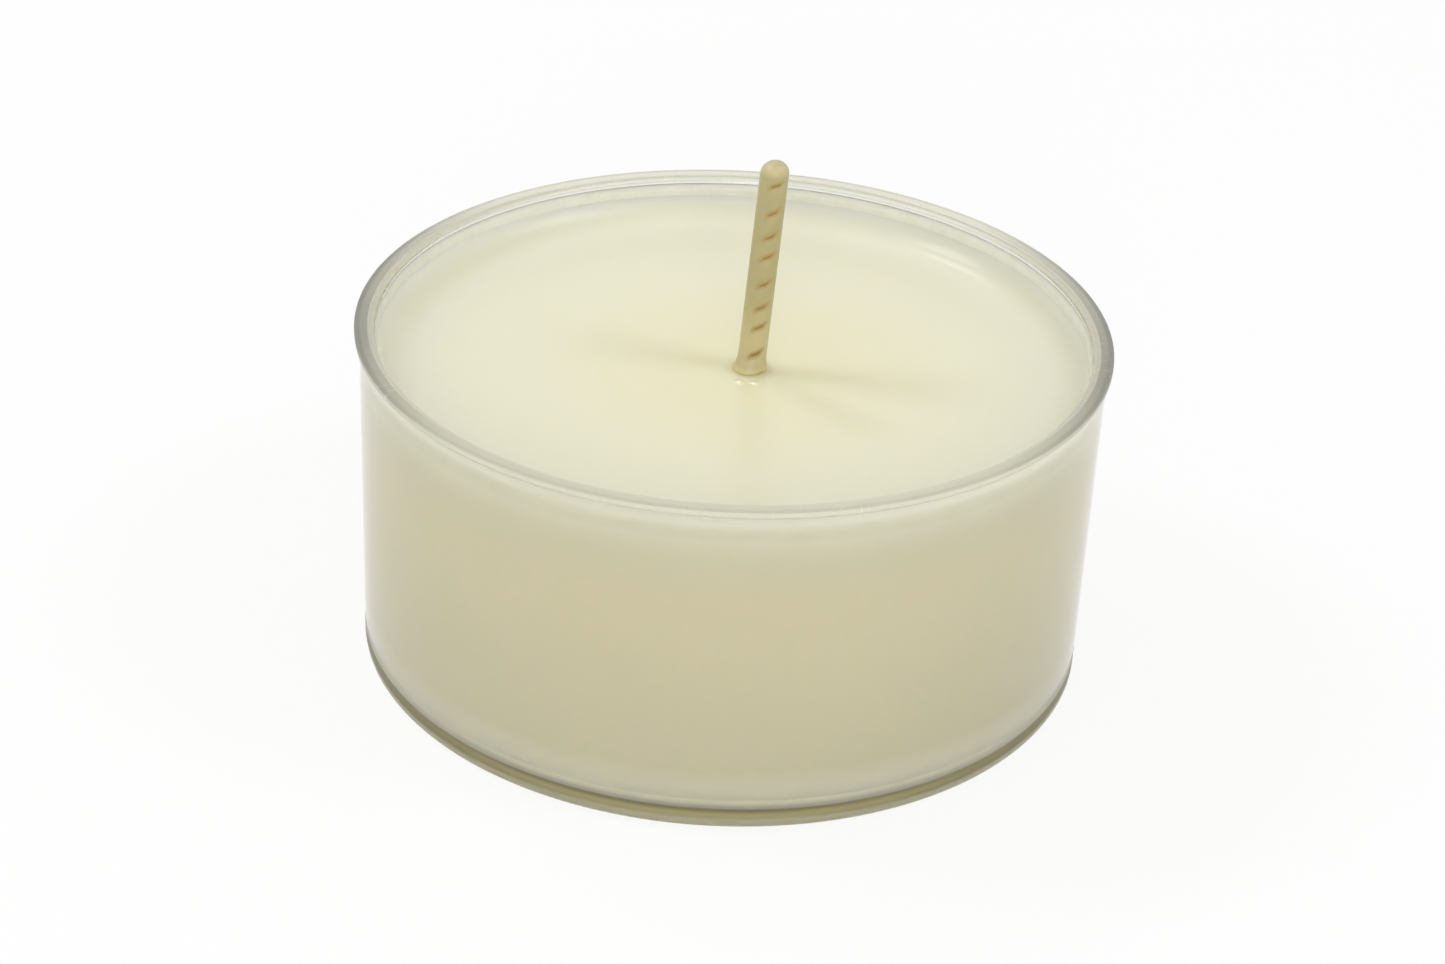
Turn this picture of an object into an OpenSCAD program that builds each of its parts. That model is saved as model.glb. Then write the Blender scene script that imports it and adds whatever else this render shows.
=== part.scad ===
// Tea light candle: ivory wax poured round a twisted cotton wick in a clear moulded cup.
// The origin is at the centre of the cup's base. +Z is up and the wick leans towards +X.

/* [Cup] */
// Outside diameter of the cup over its rim lip
rim_d = 38.5; // [34:0.5:44]
// Height of the cup
cup_h = 18.1; // [14:0.1:24]
// Thickness of the wall
wall_t = 0.8; // [0.6:0.05:1.2]
// Draft of the wall in degrees, inside and outside
wall_draft = 0.8; // [0.5:0.1:2]
// How far the rim lip stands out from the wall
lip_out = 0.25; // [0.15:0.05:0.35]
// Height of the rim lip, with its sloped underside
lip_h = 0.5; // [0.4:0.05:0.9]
// Radius of the rim's inner edge
rim_inner_r = 0.3; // [0.15:0.05:0.4]
// Radius of the rim's outer edge
rim_outer_r = 0.12; // [0.08:0.02:0.14]
// Thickness of the floor
floor_t = 0.75; // [0.6:0.05:1.2]
// Radius of the outer edge round the base
base_r = 0.6; // [0.4:0.1:0.9]
// Radius inside, between the wall and the floor
corner_r = 0.5; // [0.3:0.1:1]
// Height of the foot ring under the floor
foot_h = 0.3; // [0.2:0.05:0.5]
// Width of the foot ring's flat face
foot_w = 1.2; // [0.8:0.1:2]
// Diameter of the moulding gate's mark under the floor
gate_d = 1.8; // [1:0.1:3]
// How far the gate's mark stands out
gate_h = 0.12; // [0.06:0.02:0.18]

/* [Wax] */
// Depth of the wax's flat surface below the rim
fill_drop = 2.4; // [2:0.1:4]
// How far the wax climbs the cup's wall
meniscus_h = 1.35; // [0.6:0.05:1.5]
// Distance from the wall in which that climb falls to a third
meniscus_w = 0.8; // [0.4:0.1:1.2]
// How far the wax climbs the wick
collar_h = 0.4; // [0.2:0.05:0.8]
// Distance from the wick in which that climb falls to a third
collar_w = 0.28; // [0.15:0.01:0.5]

/* [Wick] */
// Diameter of the wick over its strands
wick_d = 1.45; // [1:0.05:2.4]
// Height of the wick's tip above the wax
wick_free = 11.6; // [6:0.1:16]
// Lean of the wick from upright, in degrees
wick_lean = 3.55; // [0:0.05:6]
// Number of strands that are laid together
strands = 3; // [2:1:4]
// Height in which a strand goes once round
wick_lay = 3.95; // [3:0.05:8]
// Angle of the first groove at the wick's foot, in degrees from +X
lay_start = 30; // [0:5:360]
// Depth of the grooves between the strands
groove_depth = 0.13; // [0.05:0.01:0.25]
// Height of the waxed tip's rounding
tip_r = 0.65; // [0.3:0.05:1]

/* [Sustainer] */
// Diameter of the steel tab that holds the wick's foot
tab_d = 12.5; // [10:0.5:20]
// Thickness of the tab's sheet
tab_t = 0.25; // [0.2:0.05:0.4]
// Height of the tab's crimped neck over the cup's floor
neck_h = 3; // [2:0.1:6]
// Radius of the drawn bend between the tab and its neck
draw_r = 0.5; // [0.3:0.05:0.8]
// Gap between the wick and the neck's bore
crimp_gap = 0.02; // [0.01:0.01:0.05]
// Depth of the two flats that the crimping jaws leave on the neck
crimp_flat = 0.08; // [0.04:0.01:0.12]

/* [Hidden] */

ROUND_FN = 160;
ARC_STEPS = 6;
CURVE_STEPS = 12;
CURVE_REACH = 4;
WICK_SIDES = 24;
RINGS_PER_LAY = 16;
TIP_RINGS = 5;
LIP_SLOPE = 45;
OVERLAP = 0.2;

rim_r = rim_d / 2;
lip_z = cup_h - lip_h;
floor_z = foot_h + floor_t;
wax_z = cup_h - fill_drop;
contact_z = wax_z + meniscus_h;
wick_r = wick_d / 2;
wick_h = wax_z + wick_free - floor_z;
lean_x = tan(wick_lean);
neck_r = wick_r + crimp_gap + tab_t;
crimp_z = 2 * draw_r;
crimp_h = neck_h - tab_t - crimp_z - draw_r;
foot_r = outer_r(base_r) - base_r;

// Outside and inside radius of the drafted wall at a height
function outer_r(z) = rim_r - lip_out - (lip_z - z) * tan(wall_draft);
function inner_r(z) = outer_r(z) - wall_t;

// Points of an arc round a centre, from one angle to the other
function arc(centre, r, from, to) =
    [for (i = [0 : ARC_STEPS])
        let (a = from + (to - from) * i / ARC_STEPS)
        centre + r * [cos(a), sin(a)]];

// A liquid's climb at a distance d from what it wets: it falls off to nothing at CURVE_REACH widths
function climb(h, w, d) = h * (exp(-d / w) - exp(-CURVE_REACH)) / (1 - exp(-CURVE_REACH));

// Distances from the wetted face, closer together near it
function curve_steps(w) = [for (i = [0 : CURVE_STEPS]) CURVE_REACH * w * pow(i / CURVE_STEPS, 1.6)];

// The same points from the last to the first
function reversed(points) = [for (i = [len(points) - 1 : -1 : 0]) points[i]];

// The rounding between the cup's floor and wall, which the cup and the wax share
function inside_corner() =
    arc([inner_r(floor_z + corner_r) - corner_r, floor_z + corner_r], corner_r, -90, 0);

// Half section of the cup, from the gate's mark round the outside and back along the inside
function cup_outline() = concat(
    [[0, foot_h - gate_h], [gate_d / 2, foot_h - gate_h], [gate_d / 2, foot_h]],
    [[foot_r - foot_w - foot_h, foot_h], [foot_r - foot_w, 0]],
    arc([foot_r, base_r], base_r, -90, 0),
    [[outer_r(lip_z), lip_z], [rim_r, lip_z + lip_out / tan(LIP_SLOPE)]],
    arc([rim_r - rim_outer_r, cup_h - rim_outer_r], rim_outer_r, 0, 90),
    arc([inner_r(cup_h - rim_inner_r) + rim_inner_r, cup_h - rim_inner_r], rim_inner_r, 90, 180),
    reversed(inside_corner()),
    [[0, floor_z]]);

// Half section of the poured wax: the cup's inside with a meniscus at the wall
function wax_outline() = concat(
    [[0, floor_z]],
    inside_corner(),
    [for (d = curve_steps(meniscus_w))
        [inner_r(contact_z) - d, wax_z + climb(meniscus_h, meniscus_w, d)]],
    [[0, wax_z]]);

// Half section of the small rise of wax round the wick, from its own axis at the wax's surface
function collar_outline() = concat(
    [[0, -OVERLAP]],
    [[wick_r + CURVE_REACH * collar_w, -OVERLAP]],
    reversed([for (d = curve_steps(collar_w)) [wick_r + d, climb(collar_h, collar_w, d)]]),
    [[0, collar_h]]);

// Radius of the laid strands at an angle from the first groove: crests at wick_r, grooves between them
function strand_r(a) = wick_r - groove_depth * pow(1 - abs(sin(strands * a / 2)), 2);

// Heights of the wick's rings: even along the body, then round the tip
function wick_rings() =
    let (body_h = wick_h - tip_r, n = ceil(body_h * RINGS_PER_LAY / wick_lay))
    concat(
        [for (i = [0 : n]) [body_h * i / n, 1]],
        [for (k = [1 : TIP_RINGS])
            let (a = 90 * k / (TIP_RINGS + 1))
            [body_h + tip_r * sin(a), cos(a)]]);

module cup() {
    color([0.93, 0.94, 0.92, 0.35])
    rotate_extrude($fn = ROUND_FN)
    polygon(cup_outline());
}

// The wick is one closed sweep: each ring turns with the lay and shifts with the lean.
module wick() {
    rings = wick_rings();
    last = len(rings) - 1;
    ring_points = [for (ring = rings) for (j = [0 : WICK_SIDES - 1])
        let (a = 360 * j / WICK_SIDES,
             turned = lay_start + a + 360 * ring[0] / wick_lay,
             r = ring[1] * strand_r(a))
        [lean_x * ring[0] + r * cos(turned), r * sin(turned), ring[0]]];
    tip = [lean_x * wick_h, 0, wick_h];
    foot_face = [[for (j = [0 : WICK_SIDES - 1]) j]];
    sides = [for (i = [0 : last - 1]) for (j = [0 : WICK_SIDES - 1])
        let (k = (j + 1) % WICK_SIDES, low = i * WICK_SIDES, high = low + WICK_SIDES)
        each [[low + j, high + j, high + k], [low + j, high + k, low + k]]];
    tip_faces = [for (j = [0 : WICK_SIDES - 1])
        [last * WICK_SIDES + j, len(ring_points), last * WICK_SIDES + (j + 1) % WICK_SIDES]];
    color([0.76, 0.72, 0.54])
    translate([0, 0, floor_z])
    polyhedron(points = concat(ring_points, [tip]), faces = concat(foot_face, sides, tip_faces));
}

// The outside of the tab, with its neck solid: a disc, the drawn bend and the crimped neck
module sustainer_body() {
    translate([0, 0, floor_z]) {
        rotate_extrude($fn = ROUND_FN)
        polygon(concat(
            [[0, 0], [tab_d / 2, 0], [tab_d / 2, tab_t]],
            reversed(arc([neck_r + draw_r, tab_t + draw_r], draw_r, 180, 270)),
            [[0, tab_t + draw_r]]));
        rotate([0, wick_lean, 0])
        translate([0, 0, tab_t])
        difference() {
            cylinder(r = neck_r, h = neck_h - tab_t, $fn = ROUND_FN);
            for (side = [0, 180])
                rotate([0, 0, side])
                translate([-neck_r, neck_r - crimp_flat, crimp_z])
                cube([2 * neck_r, neck_r, crimp_h]);
        }
    }
}

module wick_sustainer() {
    color([0.72, 0.72, 0.70])
    difference() {
        sustainer_body();
        translate([0, 0, floor_z])
        rotate([0, wick_lean, 0])
        translate([0, 0, -neck_h])
        cylinder(r = wick_r + crimp_gap, h = 3 * neck_h, $fn = ROUND_FN);
    }
}

module wax_fill() {
    color([0.90, 0.88, 0.77])
    difference() {
        union() {
            rotate_extrude($fn = ROUND_FN)
            polygon(wax_outline());
            translate([lean_x * (wax_z - floor_z), 0, wax_z])
            rotate_extrude($fn = ROUND_FN)
            polygon(collar_outline());
        }
        sustainer_body();
        wick();
    }
}

cup();
wax_fill();
wick();
wick_sustainer();
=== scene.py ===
import math

import bpy
from mathutils import Matrix, Vector


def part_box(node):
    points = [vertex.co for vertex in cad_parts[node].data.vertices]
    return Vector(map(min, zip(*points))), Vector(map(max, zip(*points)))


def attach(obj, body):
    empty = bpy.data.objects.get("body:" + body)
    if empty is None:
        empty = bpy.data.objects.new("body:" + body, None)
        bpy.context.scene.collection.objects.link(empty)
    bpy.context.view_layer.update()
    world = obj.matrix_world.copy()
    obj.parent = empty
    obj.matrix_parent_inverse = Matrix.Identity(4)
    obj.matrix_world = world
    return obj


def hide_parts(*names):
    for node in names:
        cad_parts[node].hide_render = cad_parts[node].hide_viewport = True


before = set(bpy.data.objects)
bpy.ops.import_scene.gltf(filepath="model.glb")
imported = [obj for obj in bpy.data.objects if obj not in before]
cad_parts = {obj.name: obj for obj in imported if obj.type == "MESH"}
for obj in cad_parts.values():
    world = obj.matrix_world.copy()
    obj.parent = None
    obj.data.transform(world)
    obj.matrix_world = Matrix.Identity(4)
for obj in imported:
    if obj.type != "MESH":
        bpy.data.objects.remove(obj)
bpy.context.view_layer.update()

# Camera

# A normal portrait lens looks down on the candle from 29 degrees and 180 mm away.
# It is turned by 3 degrees, as the photograph is, and aims below the rim's centre and a little to its left.
MM = 0.001
RIM_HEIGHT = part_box("cup")[1].z
VIEW_DOWN = math.radians(29.1)
VIEW_TURN = math.radians(2.87)
VIEW_DISTANCE = 180 * MM
AIM_LEFT = 0.63 * MM
AIM_DOWN = 7.95 * MM
LENS = 88.3

ahead = Vector((0, math.cos(VIEW_DOWN), -math.sin(VIEW_DOWN)))
level_up = Vector((0, math.sin(VIEW_DOWN), math.cos(VIEW_DOWN)))
view_right = math.cos(VIEW_TURN) * Vector((1, 0, 0)) + math.sin(VIEW_TURN) * level_up
view_up = math.cos(VIEW_TURN) * level_up - math.sin(VIEW_TURN) * Vector((1, 0, 0))
rim_centre = Vector((0, 0, RIM_HEIGHT))
stand_point = rim_centre - AIM_LEFT * view_right - AIM_DOWN * view_up - VIEW_DISTANCE * ahead

camera = bpy.data.objects.new("camera", bpy.data.cameras.new("camera"))
camera.matrix_world = Matrix((
    (view_right.x, view_up.x, -ahead.x, stand_point.x),
    (view_right.y, view_up.y, -ahead.y, stand_point.y),
    (view_right.z, view_up.z, -ahead.z, stand_point.z),
    (0, 0, 0, 1)))
camera.data.lens = LENS
camera.data.sensor_width = 36
camera.data.clip_start = 0.01
camera.data.clip_end = 10
bpy.context.scene.collection.objects.link(camera)
bpy.context.scene.camera = camera
bpy.context.scene.view_settings.view_transform = "Standard"

# Studio

# A white light tent on a pale table, with a soft box at each side, one in front and a small lamp behind.
# The tent is brighter at its walls than at its roof. What the eye meets directly, in a mirror or through the
# clear cup is plain white.
WALLS_LEVEL = 1.23
ROOF_LEVEL = 0.3
TABLE_SIZE = 2.0
TABLE_GAP = 0.02 * MM
TABLE_WHITE_SHARE = 0.86


def linear(code):
    """The linear colour of an sRGB hex code, with an alpha of 1."""
    parts = [int(code[i:i + 2], 16) / 255 for i in (0, 2, 4)]
    return tuple(c / 12.92 if c <= 0.04045 else ((c + 0.055) / 1.055) ** 2.4 for c in parts) + (1,)


def add_node(tree, kind, inputs=None, **settings):
    """A new node with its settings. Each input is set to its value, or linked if that is a socket."""
    node = tree.nodes.new(kind)
    for name, value in settings.items():
        setattr(node, name, value)
    for key, value in (inputs or {}).items():
        if isinstance(value, bpy.types.NodeSocket):
            tree.links.new(value, node.inputs[key])
        else:
            node.inputs[key].default_value = value
    return node


def seen_directly(tree):
    """1 for a ray that no rough surface has scattered: straight, mirrored or through glass."""
    path = add_node(tree, "ShaderNodeLightPath")
    sharp = add_node(tree, "ShaderNodeMath", {
        0: path.outputs["Is Camera Ray"], 1: path.outputs["Is Glossy Ray"]}, operation="MAXIMUM")
    sharp = add_node(tree, "ShaderNodeMath", {
        0: sharp.outputs[0], 1: path.outputs["Is Transmission Ray"]}, operation="MAXIMUM")
    first = add_node(tree, "ShaderNodeMath", {
        0: path.outputs["Diffuse Depth"], 1: 0.5}, operation="LESS_THAN")
    return add_node(tree, "ShaderNodeMath", {
        0: sharp.outputs[0], 1: first.outputs[0]}, operation="MULTIPLY").outputs[0]


room = bpy.data.worlds.new("light_tent")
bpy.context.scene.world = room
room.use_nodes = True
tree = room.node_tree
tree.nodes.clear()
way_out = add_node(tree, "ShaderNodeTexCoord").outputs["Object"]
upwards = add_node(tree, "ShaderNodeSeparateXYZ", {0: way_out}).outputs[2]
level = add_node(tree, "ShaderNodeMapRange", {
    "Value": upwards, "To Min": WALLS_LEVEL, "To Max": ROOF_LEVEL})
seen = seen_directly(tree)
strength = add_node(tree, "ShaderNodeMix", {
    "Factor": seen, "A": level.outputs[0], "B": 1.0}, data_type="FLOAT")
warmth = add_node(tree, "ShaderNodeMix", {
    "Factor": seen, "A": linear("FFFBF1"), "B": linear("FFFFFF")}, data_type="RGBA")
background = add_node(tree, "ShaderNodeBackground", {
    "Color": warmth.outputs["Result"], "Strength": strength.outputs["Result"]})
add_node(tree, "ShaderNodeOutputWorld", {"Surface": background.outputs[0]})

# The table is matt white card, which takes the candle's soft shadow. Where it is seen directly a share of it
# is plain white, so that it runs into the tent with no edge.
table_mesh = bpy.data.meshes.new("table")
half = TABLE_SIZE / 2
table_mesh.from_pydata(
    [(-half, -half, -TABLE_GAP), (half, -half, -TABLE_GAP),
     (half, half, -TABLE_GAP), (-half, half, -TABLE_GAP)], [], [(0, 1, 2, 3)])
table = bpy.data.objects.new("table", table_mesh)
bpy.context.scene.collection.objects.link(table)
white_card = bpy.data.materials.new("white_card")
white_card.use_nodes = True
tree = white_card.node_tree
tree.nodes.clear()
card = add_node(tree, "ShaderNodeBsdfDiffuse", {"Color": linear("F6F6F4")})
glow = add_node(tree, "ShaderNodeEmission", {"Color": linear("FFFFFF"), "Strength": 1.0})
share = add_node(tree, "ShaderNodeMath", {
    0: seen_directly(tree), 1: TABLE_WHITE_SHARE}, operation="MULTIPLY")
mixed = add_node(tree, "ShaderNodeMixShader", {
    0: share.outputs[0], 1: card.outputs[0], 2: glow.outputs[0]})
add_node(tree, "ShaderNodeOutputMaterial", {"Surface": mixed.outputs[0]})
table_mesh.materials.append(white_card)

# Each lamp: the way to it and its height in degrees, its distance and its size in metres, how much it adds
# to a white card that faces it, and its colour. The side boxes are a little cooler than the tent. The lamp
# behind is small, and the glossy folds of wax at the wick show it as two white glints.
LAMPS = {
    "soft_box_left": (172, 50, 0.45, 0.14, 0.26, "E6EEFF"),
    "soft_box_right": (-14, 50, 0.45, 0.14, 0.22, "E6EEFF"),
    "soft_box_front": (-90, 12, 0.50, 0.26, 0.40, "FFFFFF"),
    "lamp_behind": (132, 55, 0.45, 0.07, 0.09, "FFFFFF"),
}
for name, (way, height, distance, size, level, colour) in LAMPS.items():
    lamp = bpy.data.lights.new(name, "AREA")
    lamp.shape = "DISK"
    lamp.size = size
    lamp.energy = level * math.pi ** 2 * distance ** 2
    lamp.color = linear(colour)[:3]
    holder = bpy.data.objects.new(name, lamp)
    way, height = math.radians(way), math.radians(height)
    towards = Vector((math.cos(way) * math.cos(height), math.sin(way) * math.cos(height), math.sin(height)))
    holder.location = rim_centre + distance * towards
    holder.rotation_euler = towards.to_track_quat("Z", "Y").to_euler()
    bpy.context.scene.collection.objects.link(holder)

# Cup

# A clear polycarbonate cup, injection moulded in one piece through a gate under its floor.
# It has a drafted wall, a thin lip round the rim and a foot ring that it stands on.
# Sizes are in mm.
WALL = 0.8
DRAFT = math.tan(math.radians(0.8))
LIP_OUT = 0.25
LIP_HEIGHT = 0.5
RING_WIDTH = 0.67
RIM_STEP_HEIGHT = 0.05
RIM_STEP_WIDTH = 0.06
RIM_ROUNDING = 0.28
FOOT_HEIGHT = 0.3
FOOT_WIDTH = 1.2
BASE_ROUNDING = 0.6
SATIN_FOOT_TOP = 1.8
FLOOR_THICKNESS = 0.75
GATE_RADIUS = 0.9
GATE_HEIGHT = 0.12
CORNER_RADIUS = 0.5
CUP_SIDES = 360

cup_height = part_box("cup")[1].z / MM
rim_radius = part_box("cup")[1].y / MM
lip_z = cup_height - LIP_HEIGHT
floor_z = FOOT_HEIGHT + FLOOR_THICKNESS
ring_inside = rim_radius - RING_WIDTH


def wall_radius(z, inside=0.0):
    """Radius of the drafted wall at a height in mm, or of a face that lies inside it."""
    return rim_radius - LIP_OUT - (lip_z - z) * DRAFT - inside


def section(corners, steps=8, hold=0.04, reach=1.5):
    """The half section through corners (r, z, fillet), in mm, with each fillet in a number of steps.

    A straight gets a point within hold of each end, which keeps the fillets' shading off it, and others in
    between that are no further apart than reach.
    """
    points = []
    for i, (r, z, fillet) in enumerate(corners):
        here = Vector((r, z))
        if fillet == 0 or i in (0, len(corners) - 1):
            arc = [here]
        else:
            back = (Vector(corners[i - 1][:2]) - here).normalized()
            on = (Vector(corners[i + 1][:2]) - here).normalized()
            half_angle = back.angle(on) / 2
            run = fillet / math.tan(half_angle)
            centre = here + (back + on).normalized() * fillet / math.sin(half_angle)
            start, end = here + back * run - centre, here + on * run - centre
            sweep = math.pi - 2 * half_angle
            arc = [centre + (start * math.sin((1 - k / steps) * sweep) + end * math.sin(k / steps * sweep))
                   / math.sin(sweep) for k in range(steps + 1)]
        if points:
            gap = arc[0] - points[-1]
            if gap.length > 3 * hold:
                pieces = max(1, math.ceil(gap.length / reach))
                close = hold / gap.length
                marks = [close] + [k / pieces for k in range(1, pieces)] + [1 - close]
                points += [points[-1] + gap * m for m in marks]
        points += arc
    return points


def skin(name, rings, looped=False):
    """A smooth mesh from rings of points in mm. A ring of one point is a pole.

    If it is looped, the last ring joins the first.
    """
    points, starts, faces = [], [], []
    for ring in rings:
        starts.append(len(points))
        points += [tuple(c * MM for c in p) for p in ring]
    pairs = list(zip(range(len(rings) - 1), range(1, len(rings))))
    if looped:
        pairs.append((len(rings) - 1, 0))
    for low, high in pairs:
        n = max(len(rings[low]), len(rings[high]))
        for j in range(n):
            k = (j + 1) % n
            a, b = starts[low], starts[high]
            along_low = [a + j % len(rings[low]), a + k % len(rings[low])]
            along_high = [b + k % len(rings[high]), b + j % len(rings[high])]
            corners = along_low + along_high
            faces.append([c for i, c in enumerate(corners) if c != corners[i - 1]])
    mesh = bpy.data.meshes.new(name)
    mesh.from_pydata(points, [], faces)
    mesh.shade_smooth()
    piece = bpy.data.objects.new(name, mesh)
    bpy.context.scene.collection.objects.link(piece)
    return piece


def turned_ring(r, z, sides, centre=0.0):
    """A level circle of points in mm, or a single point on the axis."""
    if r < 1e-6:
        return [(centre, 0, z)]
    ways = [2 * math.pi * j / sides for j in range(sides)]
    return [(centre + r * math.cos(way), r * math.sin(way), z) for way in ways]


# Up the outside from the gate's mark: the foot ring, the wall, the lip and the rim's flat ring. Then comes a
# small step down to the rounded inner edge, and the inside down to the floor.
foot_inside = wall_radius(0) - BASE_ROUNDING - FOOT_WIDTH
cup_corners = [
    (0, FOOT_HEIGHT - GATE_HEIGHT, 0),
    (GATE_RADIUS, FOOT_HEIGHT - GATE_HEIGHT, 0.04),
    (GATE_RADIUS, FOOT_HEIGHT, 0.04),
    (foot_inside - FOOT_HEIGHT, FOOT_HEIGHT, 0.12),
    (foot_inside, 0, 0.08),
    (wall_radius(0), 0, BASE_ROUNDING),
    (wall_radius(SATIN_FOOT_TOP), SATIN_FOOT_TOP, 0),
    (wall_radius(lip_z), lip_z, 0.06),
    (rim_radius, lip_z + LIP_OUT, 0.08),
    (rim_radius, cup_height, 0.05),
    (ring_inside, cup_height, 0.02),
    (ring_inside - RIM_STEP_WIDTH, cup_height - RIM_STEP_HEIGHT, 0.02),
    (wall_radius(cup_height, WALL), cup_height - RIM_STEP_HEIGHT, RIM_ROUNDING),
    (wall_radius(floor_z, WALL), floor_z, CORNER_RADIUS),
    (0, floor_z, 0),
]
cup = skin("clear_cup", [turned_ring(p.x, p.y, CUP_SIDES) for p in section(cup_corners)])

# Clear moulded polycarbonate has a bright clean gloss, with a faint haze from the mould's polish and from
# handling. The rounding inside the rim is duller, and it is painted a grey tint, a painted shade that gives
# it its soft inner line.
clear_cup = bpy.data.materials.new("moulded_polycarbonate")
clear_cup.use_nodes = True
tree = clear_cup.node_tree
shader = tree.nodes["Principled BSDF"]
where = add_node(tree, "ShaderNodeTexCoord").outputs["Object"]
haze = add_node(tree, "ShaderNodeTexNoise", {
    "Vector": where, "Scale": 1 / (2.5 * MM), "Detail": 4.0, "Roughness": 0.6})
haze_amount = add_node(tree, "ShaderNodeMapRange", {
    "Value": haze.outputs["Fac"], "From Min": 0.35, "From Max": 0.75, "To Min": 0.015, "To Max": 0.06})
height = add_node(tree, "ShaderNodeSeparateXYZ", {0: where}).outputs[2]
dull = add_node(tree, "ShaderNodeMapRange", {
    "Value": height, "From Min": (cup_height - 0.6) * MM, "From Max": (cup_height - 0.3) * MM},
    interpolation_type="SMOOTHSTEP")
matt = add_node(tree, "ShaderNodeMix", {
    "Factor": dull.outputs[0], "A": haze_amount.outputs[0], "B": 0.16}, data_type="FLOAT")
ripple = add_node(tree, "ShaderNodeTexNoise", {
    "Vector": where, "Scale": 1 / (5 * MM), "Detail": 1.0})
bump = add_node(tree, "ShaderNodeBump", {
    "Height": ripple.outputs["Fac"], "Distance": 0.01 * MM, "Strength": 0.5})
# Painted shade: a grey tint on the rounding inside the rim.
grey_rounding = add_node(tree, "ShaderNodeMapRange", {
    "Value": height, "From Min": (cup_height - 0.34) * MM, "From Max": (cup_height - 0.24) * MM},
    interpolation_type="SMOOTHSTEP")
tone = add_node(tree, "ShaderNodeMix", {
    "Factor": grey_rounding.outputs[0], "A": linear("FCFCF8"), "B": linear("C6C5B5")}, data_type="RGBA")
tree.links.new(tone.outputs["Result"], shader.inputs["Base Color"])
shader.inputs["Transmission Weight"].default_value = 1.0
shader.inputs["IOR"].default_value = 1.585
tree.links.new(matt.outputs["Result"], shader.inputs["Roughness"])
tree.links.new(bump.outputs[0], shader.inputs["Normal"])
cup.data.materials.append(clear_cup)

# The rim's flat ring is where the mould opens, so it is satin, with fine radial scratches. Its tones are
# painted light and shade: grey at the left and right, and paler in front and most of all behind, where light
# from the wax comes up through the wall, and a painted shade darker over the lip, which has no wax behind
# it.
# Real scratches are finer, and these are drawn wide enough to show.
RIM_LIT_IN_FRONT = (0.96, 0.96, 0.96, 1)
RIM_LIT_BEHIND = (1.32, 1.32, 1.36, 1)
SCRATCH_WIDTH = 0.1
SCRATCH_LENGTH = 1.2
rim_satin = bpy.data.materials.new("satin_polycarbonate_rim")
rim_satin.use_nodes = True
tree = rim_satin.node_tree
shader = tree.nodes["Principled BSDF"]
where = add_node(tree, "ShaderNodeTexCoord").outputs["Object"]
flat = add_node(tree, "ShaderNodeVectorMath", {0: where, 1: (1, 1, 0)}, operation="MULTIPLY")
out = add_node(tree, "ShaderNodeVectorMath", {0: flat.outputs[0]}, operation="LENGTH").outputs["Value"]
parts = add_node(tree, "ShaderNodeSeparateXYZ", {0: where}).outputs
over_lip = add_node(tree, "ShaderNodeMapRange", {
    "Value": out, "From Min": (rim_radius - LIP_OUT - 0.08) * MM,
    "From Max": (rim_radius - LIP_OUT + 0.04) * MM})
on_top = add_node(tree, "ShaderNodeMapRange", {
    "Value": parts[2], "From Min": (cup_height - 0.07) * MM, "From Max": (cup_height - 0.02) * MM})
over_lip = add_node(tree, "ShaderNodeMath", {
    0: over_lip.outputs[0], 1: on_top.outputs[0]}, operation="MULTIPLY")
inner_edge = add_node(tree, "ShaderNodeMapRange", {
    "Value": out, "From Min": (ring_inside - 0.03) * MM, "From Max": (ring_inside + 0.03) * MM})
way = add_node(tree, "ShaderNodeMath", {0: parts[1], 1: parts[0]}, operation="ARCTAN2")
along = add_node(tree, "ShaderNodeMath", {
    0: way.outputs[0], 1: rim_radius / SCRATCH_WIDTH}, operation="MULTIPLY")
across = add_node(tree, "ShaderNodeMath", {0: out, 1: 1 / (SCRATCH_LENGTH * MM)}, operation="MULTIPLY")
polar = add_node(tree, "ShaderNodeCombineXYZ", {0: along.outputs[0], 1: across.outputs[0]})
streaks = add_node(tree, "ShaderNodeTexNoise", {
    "Vector": polar.outputs[0], "Scale": 1.0, "Detail": 2.0, "Distortion": 0.6})
zones = add_node(tree, "ShaderNodeTexNoise", {"Vector": where, "Scale": 1 / (3.5 * MM), "Detail": 1.0})
scratched = add_node(tree, "ShaderNodeMapRange", {
    "Value": streaks.outputs["Fac"], "From Min": 0.62, "From Max": 0.72})
in_zone = add_node(tree, "ShaderNodeMapRange", {
    "Value": zones.outputs["Fac"], "From Min": 0.52, "From Max": 0.62, "To Max": 0.7})
scratch = add_node(tree, "ShaderNodeMath", {
    0: scratched.outputs[0], 1: in_zone.outputs[0]}, operation="MULTIPLY").outputs[0]
wear = add_node(tree, "ShaderNodeTexNoise", {
    "Vector": where, "Scale": 1 / (0.4 * MM), "Detail": 4.0, "Roughness": 0.7})
wear_amount = add_node(tree, "ShaderNodeMapRange", {
    "Value": wear.outputs["Fac"], "From Min": 0.3, "From Max": 0.7, "To Min": 0.34, "To Max": 0.46})
# Painted light and shade: grey at the sides, pale in front, brightest behind and darker over the lip.
sideways = add_node(tree, "ShaderNodeMath", {0: parts[0]}, operation="ABSOLUTE")
at_side = add_node(tree, "ShaderNodeMapRange", {
    "Value": sideways.outputs[0], "From Min": 12 * MM, "From Max": 20 * MM}, interpolation_type="SMOOTHSTEP")
towards_back = add_node(tree, "ShaderNodeMapRange", {
    "Value": parts[1], "From Min": -10 * MM, "From Max": 10 * MM})
lit = add_node(tree, "ShaderNodeMix", {
    "Factor": towards_back.outputs[0], "A": RIM_LIT_IN_FRONT, "B": RIM_LIT_BEHIND}, data_type="RGBA")
pale = add_node(tree, "ShaderNodeMix", {
    "Factor": over_lip.outputs[0], "A": linear("DAD9C8"), "B": linear("CECDBC")}, data_type="RGBA")
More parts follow.
